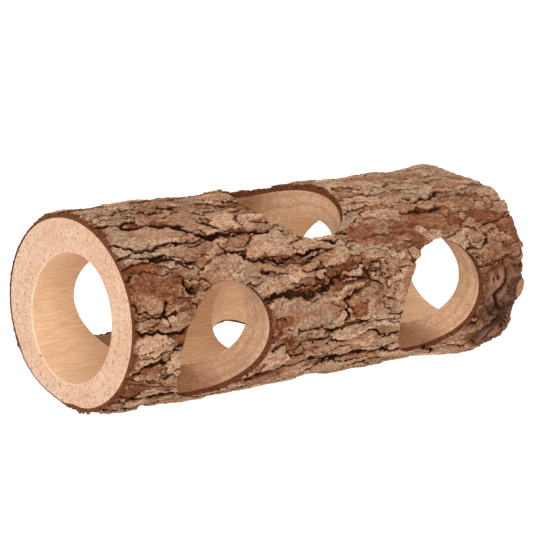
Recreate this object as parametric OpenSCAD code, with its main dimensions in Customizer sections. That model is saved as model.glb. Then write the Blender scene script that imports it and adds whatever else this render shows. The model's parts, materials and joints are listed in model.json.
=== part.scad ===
// Wooden hamster tunnel: a length of natural log, bored through from end to end,
// with six round windows in its sides and its bark left on.
// +X runs along the log from its near end to its far end, +Y to the back and +Z up.
// The origin is under the middle of the log, on its worn, flat underside.

/* [Log] */
// Length of the log along its bore
log_length = 200; // [160:1:260]
// Mean radius of the bare wood at the near end
near_radius = 33.1; // [30:0.1:40]
// Mean radius of the bare wood in the middle of the log
wood_radius = 33.7; // [30:0.1:40]
// Mean radius of the bare wood at the far end
far_radius = 32.6; // [30:0.1:40]
// Distance from the bore's axis to the log's own centre at the near end
near_off_centre = 1.7; // [-2:0.1:2]
// Distance from the bore's axis to the log's own centre at the far end
far_off_centre = -1.1; // [-2:0.1:2]
// How much the near end is wider than round on each side
near_oval = 1.8; // [0:0.1:2.5]
// How much the far end is wider than round on each side
far_oval = 0.5; // [0:0.1:2.5]
// Height of the bore's axis above the flat underside of the wood
flat_height = 28; // [27:0.1:30]
// Lean of the near saw cut, in degrees
saw_lean = 6.5; // [0:0.5:10]

/* [Tunnel and windows] */
// Diameter of the bore along the log
bore_d = 46; // [36:0.5:48]
// Diameter of the side windows
window_d = 45; // [30:0.5:46]
// Distance from the near end to the near front window
front_near_to_end = 42; // [36:0.5:48]
// How far the near front window lies below the bore's axis
front_near_drop = 1; // [-2:0.5:2]
// Distance from the far end to the far front window
front_far_to_end = 43; // [38:0.5:48]
// Distance from the near end to the near back window
back_near_to_end = 45; // [36:0.5:48]
// How far the near back window lies below the bore's axis
back_near_drop = 1.5; // [-2:0.5:2]
// Distance from the far end to the far back window
back_far_to_end = 39; // [36:0.5:48]
// How far the far back window lies above the bore's axis
back_far_rise = 1; // [-2:0.5:2]
// Distance from the middle to the top window, towards the near end
top_to_middle = 3; // [-10:0.5:10]
// How far the top window lies behind the bore's axis
top_set_back = 1; // [-2:0.5:2]
// Distance from the middle to the underside window, towards the far end
underside_to_middle = 5.5; // [-10:0.5:10]

/* [Bark] */
// Thickness of the inner bark
inner_bark_t = 1; // [0.6:0.1:2]
// Thickness of the thinnest bark plates
plate_t_min = 0.7; // [0.5:0.1:1.5]
// Thickness of the thickest bark plates, and of the worn ones underneath
plate_t_max = 2.2; // [1.5:0.1:3]
// Width of the fissures between the bark plates
fissure_w = 1.2; // [0.8:0.1:3]
// Length of a bark plate's pointed ends
plate_tip = 6; // [3:0.5:8]
// How many bark plates lie along the log
plate_columns = 6; // [4:1:7]
// Which of the random bark patterns to use
plate_seed = 40; // [1:1:99]

/* [Branch] */
// Diameter of the branch stub
stub_d = 8; // [5:0.5:9]
// How far the stub stands out of the inner bark
stub_out = 6; // [4:0.5:7]
// How deep the stub is rooted below the inner bark's surface
stub_root = 7; // [4:0.5:8]
// Clearance round the stub's root
stub_clearance = 0.1; // [0.05:0.05:0.3]
// Distance from the stub to the far end, at the inner bark's surface
stub_to_end = 6.3; // [6:0.1:9]
// Where the stub stands, in degrees round the log from the back over the top
stub_angle = 175; // [160:1:190]
// Lean of the stub towards the far end, in degrees
stub_lean = 25; // [0:1:30]
// How far the swelling beside the branch rises above the inner bark
collar_rise = 4; // [3:0.1:6]
// Radius of the swelling
collar_r = 30; // [24:1:32]
// Distance from the middle of the swelling to the far end
collar_to_end = 7; // [0:0.5:12]
// Distance round the log from the stub down to the middle of the swelling
collar_to_stub = 28; // [24:0.5:32]

/* [Hidden] */
$fn = 96;

// The bark plates lie in rows along the log, and each named side of the log carries two rows.
sides = 8;
rows_per_side = 2;
rows = sides * rows_per_side;
row_angle = 360 / rows;
facets_per_row = 3;
facet_angle = row_angle / facets_per_row;
underside = 6;

// Directions of the uneven growth, in degrees round the log from the back over the top
off_centre_dir = 66;
oval_dir = 12;
middle_off_centre = (near_off_centre + far_off_centre) / 2;
middle_oval = (near_oval + far_oval) / 2;

bark_t = inner_bark_t + plate_t_max;
overcut = 1;
reach = wood_radius + bark_t + 2 * (collar_rise + stub_out);

lean_reach = (near_radius + bark_t) * tan(saw_lean);
near_x = (lean_reach - log_length) / 2;
far_x = near_x + log_length;
middle_x = (near_x + far_x) / 2;
start_x = near_x - 2 * lean_reach;
end_x = far_x + overcut;
stations = [start_x, middle_x, end_x];
stub_x = far_x - stub_to_end;
collar_x = far_x - collar_to_end;
collar_angle = stub_angle + collar_to_stub / (wood_radius + inner_bark_t) * 180 / PI;

plate_pitch = (far_x - near_x + lean_reach) / plate_columns;
// How far a plate's ends and sides stray from an even pattern, as a share of its length and width
end_stray_share = 0.2;
side_stray_share = 0.06;
// A plate is left out where less of it than this share would be left by a saw cut or a window.
least_share = 0.3;
row_stagger_share = 0.618;
// The bare patches where a plate has come off, as row and column
bare_patches = [[7, 1], [5, 4], [2, 2]];
// The row of plates that reaches furthest to the back
back_row = 1;

// The stub's face reaches furthest to the front, so the bore lies behind the middle.
front_reach = bast_r(stub_angle, stub_x) + stub_out * cos(stub_lean) + stub_d / 2 * sin(stub_lean);
back_reach = max([for (column = [0 : plate_columns]) plate_top(back_row, column)]);
axis_y = (front_reach - back_reach) / 2;
axis_z = flat_height + bark_t;

// Each window's place along the log, its direction round it and its offset to the back and up
windows = [[near_x + front_near_to_end, 180, [0, -front_near_drop]],
           [far_x - front_far_to_end, 180, [0, 0]],
           [near_x + back_near_to_end, 0, [0, -back_near_drop]],
           [far_x - back_far_to_end, 0, [0, back_far_rise]],
           [middle_x - top_to_middle, 90, [top_set_back, 0]],
           [middle_x + underside_to_middle, 270, [0, 0]]];

// A value at a place along the log, from those at its near end, middle and far end
function along(x, near, middle, far) =
    let (share = 2 * (x - middle_x) / log_length)
    middle + share * (share < 0 ? middle - near : far - middle);

// Radius of the bare wood and of the inner bark from the bore's axis
function wood_r(a, x) =
    along(x, near_radius, wood_radius, far_radius)
    + along(x, near_off_centre, middle_off_centre, far_off_centre) * cos(a - off_centre_dir)
    + along(x, near_oval, middle_oval, far_oval) * cos(2 * (a - oval_dir));
function bast_r(a, x) = wood_r(a, x) + inner_bark_t;

// Points of the section at some angles, a given height above the wood, with the flat underside
function section(x, angles, height) =
    [for (a = angles) let (r = wood_r(a, x) + height)
        [x, axis_y + r * cos(a), axis_z + max(r * sin(a), -flat_height - height)]];

function row_start(row) = (row - rows_per_side / 2) * row_angle;
function row_middle(row) = row_start(row) + row_angle / 2;
function row_shift(row) = (row * row_stagger_share) % 1;
function plate_jitter(row, column) = rands(-1, 1, 12, plate_seed + row * (plate_columns + 2) + column);
// Where one plate of a row ends and the next begins
function plate_edge(row, column) =
    near_x - lean_reach + (column - 1 + row_shift(row) + end_stray_share * plate_jitter(row, column)[0])
    * plate_pitch;
function plate_x(row, column) = (plate_edge(row, column) + plate_edge(row, column + 1)) / 2;
function plate_l(row, column) = plate_edge(row, column + 1) - plate_edge(row, column) - fissure_w;
function plate_t(row, column) =
    (plate_t_min + plate_t_max + plate_jitter(row, column)[11] * (plate_t_max - plate_t_min)) / 2;
function plate_top(row, column) = bast_r(row_start(row), plate_x(row, column)) + plate_t(row, column);
function plate_w(row, column) =
    bast_r(row_middle(row), plate_x(row, column)) * row_angle * PI / 180 - fissure_w;

function window_gap(window, x, a) =
    let (across = window[2] * [-sin(window[1]), cos(window[1])])
    cos(a - window[1]) < 0 ? reach
    : norm([x - window[0], wood_radius * sin(a - window[1]) - across]) / (window_d / 2);

function plate_is_kept(row, column) =
    let (share = column == 0 ? row_shift(row) : column == plate_columns ? 1 - row_shift(row) : 1)
    let (gaps = [for (w = windows) window_gap(w, plate_x(row, column), row_middle(row))])
    share > least_share && min(gaps) > 1 - least_share
    && len([for (p = bare_patches) if (p == [row, column]) p]) == 0;

// An elongated, uneven six-sided scale
function plate_corner(j, k, l, w) =
    [l - plate_tip * (1 + j[k] / 2), w * (1 - side_stray_share * (1 + j[k + 1]))];
function plate_outline(row, column) =
    let (j = plate_jitter(row, column), l = plate_l(row, column) / 2, w = plate_w(row, column) / 2)
    let (near_low = plate_corner(j, 1, l, w), far_low = plate_corner(j, 3, l, w))
    let (far_high = plate_corner(j, 5, l, w), near_high = plate_corner(j, 7, l, w))
    [[-l, j[9] * w / 2], -near_low, [far_low.x, -far_low.y],
     [l, j[10] * w / 2], far_high, [-near_high.x, near_high.y]];

module along_log(from, to) {
    translate([from, axis_y, axis_z]) rotate([90, 0, 90]) linear_extrude(to - from) children();
}

// Stands its children on the bore's axis, with their Z pointing out of the log at an angle.
module outward(x, a) {
    translate([x, axis_y, axis_z]) rotate([a - 90, 0, 0]) children();
}

// A closed solid through rings of points, given the faces of its near end and how many points lie outside.
// The walls between the other points are split the other way, to lie flush on the outside of another solid.
module loft(rings, near_faces, outside) {
    n = len(rings[0]);
    last = len(rings) - 1;
    far_faces = [for (face = near_faces) [for (k = [len(face) - 1 : -1 : 0]) last * n + face[k]]];
    walls = [for (i = [0 : last - 1]) for (k = [0 : n - 1])
        let (a = i * n + k, b = i * n + (k + 1) % n)
        each k < outside ? [[a, a + n, b], [a + n, b + n, b]] : [[a, a + n, b + n], [a, b + n, b]]];
    polyhedron(points = [for (ring = rings) each ring], faces = concat(near_faces, far_faces, walls));
}

// The log up to a given height above the wood
module log_body(height, extra = 0) {
    facets = rows * facets_per_row;
    angles = [for (k = [0 : facets - 1]) k * facet_angle];
    places = extra == 0 ? stations : concat(start_x - extra, stations, end_x + extra);
    loft([for (x = places) section(x, angles, height)], [[for (k = [0 : facets - 1]) k]], facets);
}

module saw_cuts() {
    translate([near_x, axis_y, axis_z]) rotate([0, 0, -saw_lean])
        translate([-reach, -reach, -reach]) cube([reach, 2 * reach, 2 * reach]);
    translate([far_x, axis_y - reach, axis_z - reach]) cube([reach, 2 * reach, 2 * reach]);
}

module window_cutters() {
    for (w = windows) translate([0, w[2].x, w[2].y]) outward(w[0], w[1]) cylinder(d = window_d, h = reach);
}

module stub_place() {
    outward(stub_x, stub_angle)
        translate([0, 0, bast_r(stub_angle, stub_x)]) rotate([0, stub_lean, 0])
        translate([0, 0, -stub_root]) children();
}

module stub_socket() {
    stub_place() cylinder(d = stub_d + 2 * stub_clearance, h = reach);
}

module collar_ball() {
    outward(collar_x, collar_angle)
        translate([0, 0, bast_r(collar_angle, collar_x) + collar_rise - collar_r]) sphere(r = collar_r);
}

// What every layer of the log loses: the saw cuts at its ends, the windows and the stub's socket
module sawn_and_drilled() {
    difference() {
        children();
        saw_cuts();
        window_cutters();
        stub_socket();
    }
}

module wood_tube() {
    color("burlywood") sawn_and_drilled() difference() {
        log_body(0);
        along_log(start_x - overcut, end_x + overcut) circle(d = bore_d);
    }
}

module inner_bark() {
    color("sienna") sawn_and_drilled() difference() {
        log_body(inner_bark_t);
        log_body(0, overcut);
    }
}

// A strip of bark along one row, from the inner bark up to the plate's own thickness
module row_strip(row, thickness) {
    upward = [for (k = [-1 : facets_per_row + 1]) row_start(row) + k * facet_angle];
    count = len(upward);
    downward = [for (k = [count - 1 : -1 : 0]) upward[k]];
    loft([for (x = stations)
        concat(section(x, upward, inner_bark_t + thickness), section(x, downward, inner_bark_t))],
        [for (k = [0 : count - 2]) [k, k + 1, 2 * count - 2 - k, 2 * count - 1 - k]], count);
}

module bark_plate(row, column, side) {
    intersection() {
        row_strip(row, side == underside ? plate_t_max : plate_t(row, column));
        outward(plate_x(row, column), row_middle(row)) linear_extrude(reach)
            polygon(plate_outline(row, column));
    }
}

module bark_plates(side) {
    color("tan") sawn_and_drilled() difference() {
        for (row = [side * rows_per_side : (side + 1) * rows_per_side - 1])
            for (column = [0 : plate_columns])
                if (plate_is_kept(row, column)) bark_plate(row, column, side);
        collar_ball();
    }
}

module bark_plates_back() { bark_plates(0); }
module bark_plates_back_upper() { bark_plates(1); }
module bark_plates_top() { bark_plates(2); }
module bark_plates_front_upper() { bark_plates(3); }
module bark_plates_front() { bark_plates(4); }
module bark_plates_front_lower() { bark_plates(5); }
module bark_plates_underside() { bark_plates(underside); }
module bark_plates_back_lower() { bark_plates(7); }

// The swollen bark beside the branch, up to the far saw cut
module branch_collar() {
    color("saddlebrown") sawn_and_drilled() intersection() {
        difference() {
            collar_ball();
            log_body(inner_bark_t, overcut);
        }
        translate([0, -reach, 0]) cube([end_x, 2 * reach, 2 * reach]);
    }
}

module branch_stub() {
    color("peru") stub_place() cylinder(d = stub_d, h = stub_root + stub_out);
}

wood_tube();
inner_bark();
bark_plates_back();
bark_plates_back_upper();
bark_plates_top();
bark_plates_front_upper();
bark_plates_front();
bark_plates_front_lower();
bark_plates_underside();
bark_plates_back_lower();
branch_collar();
branch_stub();
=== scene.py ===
import json
import math

import bpy
import numpy as np
from mathutils import Matrix, Vector


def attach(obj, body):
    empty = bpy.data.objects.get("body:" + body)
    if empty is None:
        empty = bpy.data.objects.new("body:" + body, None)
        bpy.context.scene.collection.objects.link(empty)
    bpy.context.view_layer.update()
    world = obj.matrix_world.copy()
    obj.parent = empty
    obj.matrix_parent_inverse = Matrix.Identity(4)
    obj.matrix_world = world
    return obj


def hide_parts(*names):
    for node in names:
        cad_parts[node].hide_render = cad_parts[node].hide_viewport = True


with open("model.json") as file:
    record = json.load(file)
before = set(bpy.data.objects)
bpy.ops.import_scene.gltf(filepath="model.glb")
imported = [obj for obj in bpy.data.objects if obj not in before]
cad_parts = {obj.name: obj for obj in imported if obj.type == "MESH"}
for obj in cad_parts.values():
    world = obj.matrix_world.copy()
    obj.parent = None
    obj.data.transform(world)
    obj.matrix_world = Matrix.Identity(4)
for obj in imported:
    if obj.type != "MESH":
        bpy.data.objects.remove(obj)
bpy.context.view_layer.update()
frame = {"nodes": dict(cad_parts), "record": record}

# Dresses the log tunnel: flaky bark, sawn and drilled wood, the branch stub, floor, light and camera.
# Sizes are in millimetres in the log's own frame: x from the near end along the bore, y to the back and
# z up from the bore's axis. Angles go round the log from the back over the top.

MM = 0.001
TURN = 2 * math.pi

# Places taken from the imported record
record = frame["record"]
mounts = {m["name"]: m for m in record["mounts"]}
openings = {o["name"]: np.array(o["box_m"]) / MM for o in record["physics"]["openings"]}
ORIGIN = np.array([mounts["near_end"]["pos_m"][0] / MM, *openings["tunnel"].mean(0)[1:]])
LENGTH = mounts["far_end"]["pos_m"][0] / MM - ORIGIN[0]
SAW_NORMAL = Vector(mounts["near_end"]["axis"])
SAW_SLOPE = -SAW_NORMAL.y / SAW_NORMAL.x
SIDE_ANGLES = {"back": 0.0, "top": 90.0, "front": 180.0, "underside": 270.0}


def window_place(name, box):
    """A window's x, its direction round the log and its offset across that direction."""
    angle = SIDE_ANGLES[name.split("_")[0]]
    x, y, z = box.mean(0) - ORIGIN
    a = math.radians(angle)
    return x, angle, z * math.cos(a) - y * math.sin(a)


WINDOWS = [window_place(name, box) for name, box in openings.items() if name.endswith("_window")]
SIDES = ["back", "back_upper", "top", "front_upper", "front", "front_lower", "underside", "back_lower"]

# Sizes of the cuts and layers
BORE_R = 23.0
BORE_FUZZ = 0.04
WINDOW_R = 22.5
WINDOW_START = 9.0
CUT_REACH = 60.0
RIM_CHAMFER = 0.5
INNER_BARK = 0.9
MEAN_BARK = 2.3
WOOD_FLAT = 28.4
GROUND = ORIGIN[2]
NEAR_REACH = 8.0
# The windows in each layer: how much wider than their size, how uneven, and the seed of that
WOOD_WINDOWS = (0.0, 0.03, 60)
INNER_WINDOWS = (0.06, 0.03, 60)
BARK_WINDOWS = (0.2, 0.12, 80)

# The stub: its radius, how much its foot flares, where and how far as parts of its length, where it starts
# inside the wood, how its sawn edge is rounded, and how its face leans
STUB_R = 4.0
STUB_FLARE = 0.3
STUB_FLARE_AT = 0.55
STUB_FLARE_REACH = 0.18
STUB_START = 0.3
STUB_EDGE = 0.3
STUB_FACE_LEAN = 0.12

# The log's outer section at five places along it: mean radius, shift of its centre and ovality
SECTION_X = [0, 50, 100, 150, 200]
SECTION_R = [35.8, 36.3, 35.8, 35.3, 34.9]
SECTION_SHIFT = [2.0, 0.7, 0.3, -0.6, -0.8]
SECTION_OVAL = [2.1, 1.2, 0.9, 0.7, 0.6]
SHIFT_DIR = math.radians(78)
OVAL_DIR = math.radians(12)
# Swellings and hollows of the log: x, angle, height, half length and half width in degrees
SWELLINGS = [
    (193, 214, 3.4, 14, 20), (182, 233, 2.0, 14, 10), (200, 128, 2.4, 12, 26), (192, 57, 1.8, 7, 14),
    (201, 82, -2.2, 10, 22), (200, 158, 1.7, 10, 14), (199, 203, 1.2, 8, 8),
]
# The near end's bark is worn thin on the side away from an angle: x where that starts and where it is full
THICK_DIR = math.radians(160)
THIN_FROM = 100.0
THIN_FULLY = 40.0
# Where it is worn, the share of the bark's depth that is gone, and how much lower the wood's flat lies
WORN_SHARE = 0.6
WORN_FLAT = 2.0
# Middles of the worn bark underneath, of the top that is painted paler as if lit from above, and of the pale
# lower edge in front
WORN_DIR = math.radians(285)
TOP_LIGHT_DIR = math.radians(95)
PALE_EDGE_DIR = math.radians(222)

# The bark's grid: points round the log and along it, and the coarse grid of what lies under it
AROUND = 720
ALONG = 680
MEAN_R = 35.5
ROUND = TURN * MEAN_R
STEP_S = ROUND / AROUND
STEP_X = (LENGTH + NEAR_REACH) / ALONG
COARSE_AROUND = 80
COARSE_ALONG = 34


def to_world(points):
    """Points of the log's own frame, in metres in the part's frame."""
    return (np.asarray(points) + ORIGIN) * MM


def vectors(items, name):
    """A vector that every point or face of a mesh has, as rows."""
    values = np.zeros(len(items) * 3, np.float32)
    items.foreach_get(name, values)
    return values.reshape(-1, 3)


def mesh_places(mesh):
    """Every point of a mesh, in the log's own frame."""
    return vectors(mesh.vertices, "co") / MM - ORIGIN


def smoothstep(low, high, value):
    """0 at low, 1 at high and smooth between; low may be the higher one."""
    t = np.clip((value - low) / (high - low), 0, 1)
    return t * t * (3 - 2 * t)


def angle_gap(a, b):
    """Shortest turn between two angles."""
    return (a - b + math.pi) % TURN - math.pi


def round_gap(a, b):
    """Shortest way round the log between two distances."""
    return (a - b + ROUND / 2) % ROUND - ROUND / 2


def round_place(y, z):
    """Distance round the log of a place beside its axis."""
    return math.atan2(z, y) % TURN * MEAN_R


def worn(theta, x):
    """1 where the bark is worn thin, at the back of the near half and underneath, and 0 elsewhere."""
    near_half = smoothstep(THIN_FROM, THIN_FULLY, x) * (0.5 + 0.5 * smoothstep(4, 25, x))
    near_half = near_half * smoothstep(-0.1, -0.7, np.cos(theta - THICK_DIR))
    return np.maximum(near_half, smoothstep(0.78, 0.93, np.cos(theta - WORN_DIR)))


def wood_radius(theta, x):
    """Radius of the bare wood from the bore's axis, flat underneath."""
    def along(values):
        return np.interp(x, SECTION_X, values)
    thin = worn(theta, x)
    r = along(SECTION_R) + along(SECTION_SHIFT) * np.cos(theta - SHIFT_DIR)
    r = r + along(SECTION_OVAL) * np.cos(2 * (theta - OVAL_DIR)) - MEAN_BARK * (1 - WORN_SHARE * thin)
    for sx, angle, height, half_x, half_a in SWELLINGS:
        turned = angle_gap(theta, math.radians(angle)) / math.radians(half_a)
        r = r + height * np.exp(-(((x - sx) / half_x) ** 2 + turned ** 2))
    flat = (WOOD_FLAT + WORN_FLAT * thin) / np.maximum(-np.sin(theta), 0.2)
    return -np.log(np.exp(-r) + np.exp(-flat))


def bast_radius(theta, x):
    """Radius of the inner bark's outer face, on which the outer bark lies."""
    return wood_radius(theta, x) + INNER_BARK * (1 - WORN_SHARE * worn(theta, x))


def ring_point(theta, x, r):
    """Points of the log's own frame from angle, x and radius."""
    return np.stack(np.broadcast_arrays(x, r * np.cos(theta), r * np.sin(theta)), -1)


def circle(count):
    """Angles evenly round a circle, as a column."""
    return np.linspace(0, TURN, count, endpoint=False)[:, None]


# Meshes from grids

def add_object(name, data):
    """A new object in the scene."""
    obj = bpy.data.objects.new(name, data)
    bpy.context.scene.collection.objects.link(obj)
    return obj


def mesh_object(name, points, quads, ngons=()):
    """A mesh object from points in the log's own frame, an array of quads and a few larger faces."""
    corners = np.concatenate([np.asarray(quads).ravel()] + [np.asarray(n) for n in ngons]).astype(np.int32)
    totals = np.array([4] * len(quads) + [len(n) for n in ngons], np.int32)
    mesh = bpy.data.meshes.new(name)
    mesh.vertices.add(len(points))
    mesh.vertices.foreach_set("co", to_world(points).astype(np.float32).ravel())
    mesh.loops.add(len(corners))
    mesh.loops.foreach_set("vertex_index", corners)
    mesh.polygons.add(len(totals))
    mesh.polygons.foreach_set("loop_start", np.concatenate([[0], np.cumsum(totals)[:-1]]).astype(np.int32))
    mesh.update(calc_edges=True)
    mesh.validate()
    return add_object(name, mesh)


def grid_quads(rows, columns, start=0, wrap=False):
    """Quads of a grid of points stored row by row; wrap joins the last row to the first."""
    i = np.arange(rows if wrap else rows - 1)[:, None]
    j = np.arange(columns - 1)[None, :]
    a = start + i * columns + j
    b = start + ((i + 1) % rows) * columns + j
    return np.stack([a, b, b + 1, a + 1], -1).reshape(-1, 4)


def tube(name, points):
    """A closed solid from a grid of points that wraps round by rows, with flat end faces."""
    rows, columns = points.shape[:2]
    index = np.arange(rows * columns).reshape(rows, columns)
    ends = [index[::-1, 0], index[:, -1]]
    return mesh_object(name, points.reshape(-1, 3), grid_quads(rows, columns, wrap=True), ends)


def log_solid(name, radius, around, x):
    """A solid round the log's axis from its radius by angle and x, with so many points round it."""
    theta = circle(around)
    return tube(name, ring_point(theta, x[None, :], radius(theta, x[None, :])))


def shell(name, theta, x, radius, inner_radius, coarse):
    """A closed solid between a fine outer grid and a coarse inner one over the same stretch of the log."""
    outer = ring_point(theta[:, None], x[None, :], radius)
    coarse_t = np.linspace(theta[0], theta[-1], coarse[0])[:, None]
    coarse_x = np.linspace(x[0], x[-1], coarse[1])[None, :]
    inner = ring_point(coarse_t, coarse_x, inner_radius(coarse_t, coarse_x))
    start = len(theta) * len(x)
    out = np.arange(start).reshape(len(theta), len(x))
    inn = start + np.arange(coarse[0] * coarse[1]).reshape(coarse)
    walls = [np.concatenate([out[::-1, 0], inn[:, 0]]), np.concatenate([out[:, -1], inn[::-1, -1]]),
             np.concatenate([out[0, :], inn[0, ::-1]]), np.concatenate([out[-1, ::-1], inn[-1, :]])]
    quads = np.concatenate([grid_quads(*out.shape), grid_quads(*coarse, start=start)[:, ::-1]])
    return mesh_object(name, np.concatenate([outer.reshape(-1, 3), inner.reshape(-1, 3)]), quads, walls)


def cut(obj, *cutters):
    """Cuts solids out of a solid, and deletes the cutters."""
    for cutter in cutters:
        modifier = obj.modifiers.new("cut", "BOOLEAN")
        modifier.operation = "DIFFERENCE"
        modifier.solver = "MANIFOLD"
        modifier.object = cutter
    graph = bpy.context.evaluated_depsgraph_get()
    mesh = bpy.data.meshes.new_from_object(obj.evaluated_get(graph))
    obj.modifiers.clear()
    old = obj.data
    obj.data = mesh
    bpy.data.meshes.remove(old)
    mesh.name = obj.name
    mesh.materials.clear()
    for cutter in cutters:
        bpy.data.objects.remove(cutter)


def shade(obj, angle):
    """Smooth shading, with edges sharper than an angle left sharp."""
    mesh = obj.data
    mesh.polygons.foreach_set("use_smooth", np.ones(len(mesh.polygons), bool))
    mesh.set_sharp_from_angle(angle=math.radians(angle))


# Random and smoothed fields

def seamless_field(seed, reach_x, reach_s, smoothness, shape=(AROUND, ALONG + 1), steps=(STEP_S, STEP_X)):
    """A random field with no seam round the log, of unit spread, its patches about reach_x by reach_s."""
    white = np.random.default_rng(seed).standard_normal(shape)
    ks = np.fft.fftfreq(shape[0], steps[0])[:, None] * reach_s
    kx = np.fft.rfftfreq(shape[1], steps[1])[None, :] * reach_x
    weight = (1 + ks ** 2 + kx ** 2) ** -smoothness
    field = np.fft.irfft2(np.fft.rfft2(white) * weight, s=shape)
    return (field - field.mean()) / field.std()


def blurred(field, radius):
    """The field smoothed over a radius in millimetres."""
    ks = np.fft.fftfreq(field.shape[0], STEP_S)[:, None]
    kx = np.fft.rfftfreq(field.shape[1], STEP_X)[None, :]
    weight = np.exp(-2 * (math.pi * radius) ** 2 * (ks ** 2 + kx ** 2))
    return np.fft.irfft2(np.fft.rfft2(field) * weight, s=field.shape)


# The bark's relief

THETA = np.arange(AROUND) * TURN / AROUND
X = np.linspace(-NEAR_REACH, LENGTH, ALONG + 1)
GRID_T, GRID_X = np.meshgrid(THETA, X, indexing="ij")
GRID_S = GRID_T * MEAN_R
PLATE_STRETCH = 2.2
FISSURE_FLOOR = 0.1
VALLEY = 1.6
# Lowest and highest outer bark, and how high the floor of a chip's scar is
BARK_HEIGHTS = (0.15, 2.8)
CHIP_FLOOR = 0.45

# Layers of flakes, lowest first: how many, smallest and largest half length, lowest and highest top
FLAKE_LAYERS = [(560, 9, 18, 0.4, 1.0), (760, 6, 13, 0.8, 1.6), (520, 4, 9, 1.2, 2.1),
                (200, 1.2, 2.8, 1.4, 2.3)]
# A flake's width as a part of its length, the spread of its lean along and across, and a pale flake's top
FLAKE_WIDTH = (0.22, 0.46)
FLAKE_LEAN_X = 0.15
FLAKE_LEAN_S = 0.25
PALE_TOP = 1.25
# Fissures that stand out: greatest width, then the places they pass, as x and angle
FISSURES = [
    (2.2, [(-4, 91), (12, 98), (24, 99), (32, 102), (37, 106), (39, 112), (44, 114.5), (54, 114.5),
           (72, 116)]),
    (2.4, [(10, 62), (24, 61), (42, 62), (54, 66), (62, 66), (79, 71)]),
    (1.6, [(4, 84), (19, 79), (26, 76), (35, 81), (48, 86)]),
    (1.3, [(-2, 119), (8, 123), (17, 123), (25, 129), (34, 130)]),
    (1.3, [(0, 111), (9, 117), (14, 118), (19, 116), (34, 116)]),
    (1.3, [(44, 100), (48, 108), (55, 112)]),
    (1.2, [(47, 121), (47, 127), (53, 129), (57, 133)]),
    (1.5, [(20, 137), (22.5, 141.5), (27, 145)]),
    (1.4, [(12, 149), (11, 156), (13, 163)]),
    (1.2, [(-4, 163), (5, 165), (15, 168), (21, 166)]),
    (1.6, [(-4, 190), (1, 186), (9, 183), (15, 185)]),
    (3.4, [(-6, 213), (7, 210), (16, 211), (32, 211)]),
    (2.8, [(57, 211), (69, 210), (76, 206), (85, 204), (93, 203), (115, 207), (133, 208), (143, 212),
           (148, 211), (158, 217), (172, 226)]),
    (2.0, [(59, 158), (66, 157), (74, 157), (82, 159), (88, 157), (94, 154), (104, 153), (110, 153),
           (115, 156)]),
    (1.2, [(55, 132), (63, 134), (70, 137), (78, 137), (86, 134), (94, 134), (101, 134)]),
    (3.6, [(88.5, 155.5), (92.5, 156.5)]),
    (1.4, [(114, 158), (109, 162), (103, 165), (103, 174), (104, 179)]),
    (1.6, [(177, 200), (185, 198), (190, 193), (193, 188)]),
    (1.4, [(143, 118), (151, 119), (159, 119), (166, 118)]),
    (1.2, [(150, 95), (167, 97)]),
    (1.2, [(151, 105), (156, 110), (163, 109), (171, 105), (181, 105)]),
    (1.2, [(69, 106), (75, 110), (86, 109)]),
]
# Places where the outer bark has come off: x, angle, half length, half width and how red they are
BARE_PATCHES = [
    (4, 140, 10, 8.5, 1.0), (115, 131, 13, 3, 0.9), (120, 137, 12, 4, 0.95), (138, 138, 12, 5, 0.95),
    (140, 126, 16, 4, 0.95), (160, 124, 12, 4.5, 0.95), (187, 122, 11, 8, 0.7), (197, 138, 6, 9, 0.7),
]
# Single pale flakes on the bare bark, and small scars where a chip has broken out, in the same way
PALE_FLAKES = [(154, 133, 4.5, 2.8, 1.0), (173, 134, 5, 3.6, 1.0), (187, 144, 7, 3.6, 1.0)]
CHIP_SCARS = [(110, 173.7, 4.8, 2.6, 1.0), (69, 172.3, 6.0, 2.0, 1.0)]

# The wrinkled collar beside the branch: its middle, half sizes and creases
COLLAR_X = 195.0
COLLAR_ANGLE = math.radians(189)
COLLAR_HALF_X = 14.5
COLLAR_HALF_S = 21.0
COLLAR_CREASES = [
    (1.2, [(192, 161), (190, 173), (187, 180), (190, 188), (194, 193)]),
    (1.2, [(182, 210), (189, 201), (194, 195)]),
]
# The collar's piece: the grid's rows that it covers, where it starts, and its inner face's depth and points
COLLAR_ROWS = (270, 480)
COLLAR_START = 170.0
COLLAR_DEPTH = 0.7
COLLAR_COARSE = (23, 8)
# The scar that the collar's folds fan out from: its place, the number of folds and the reach of its shade
SCAR_X = 194.5
SCAR_ANGLE = math.radians(194)
SCAR_FOLDS = 11
SCAR_SHADE = 9.0
# The sleeve of bark that the stub stands in: its place along the stub, height and reach
SLEEVE_AT = 0.6
SLEEVE_RISE = 3.2
SLEEVE_REACH = 6.5


def plate_seeds():
    """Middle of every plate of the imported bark, as x and distance round the log."""
    seeds = []
    for side in SIDES:
        mesh = frame["nodes"]["bark_plates_" + side].data
        places = mesh_places(mesh)
        keys = np.unique(np.round(places, 2), axis=0, return_inverse=True)[1].ravel()
        group = np.arange(keys.max() + 1)
        faces = [[keys[v] for v in p.vertices] for p in mesh.polygons]
        settled = False
        while not settled:
            before = group.copy()
            for face in faces:
                group[face] = group[face].min()
            settled = np.array_equal(before, group)
        island = group[keys]
        for one in np.unique(island):
            x, y, z = places[island == one].mean(0)
            seeds.append((x, round_place(y, z)))
    return np.array(seeds)


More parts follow.
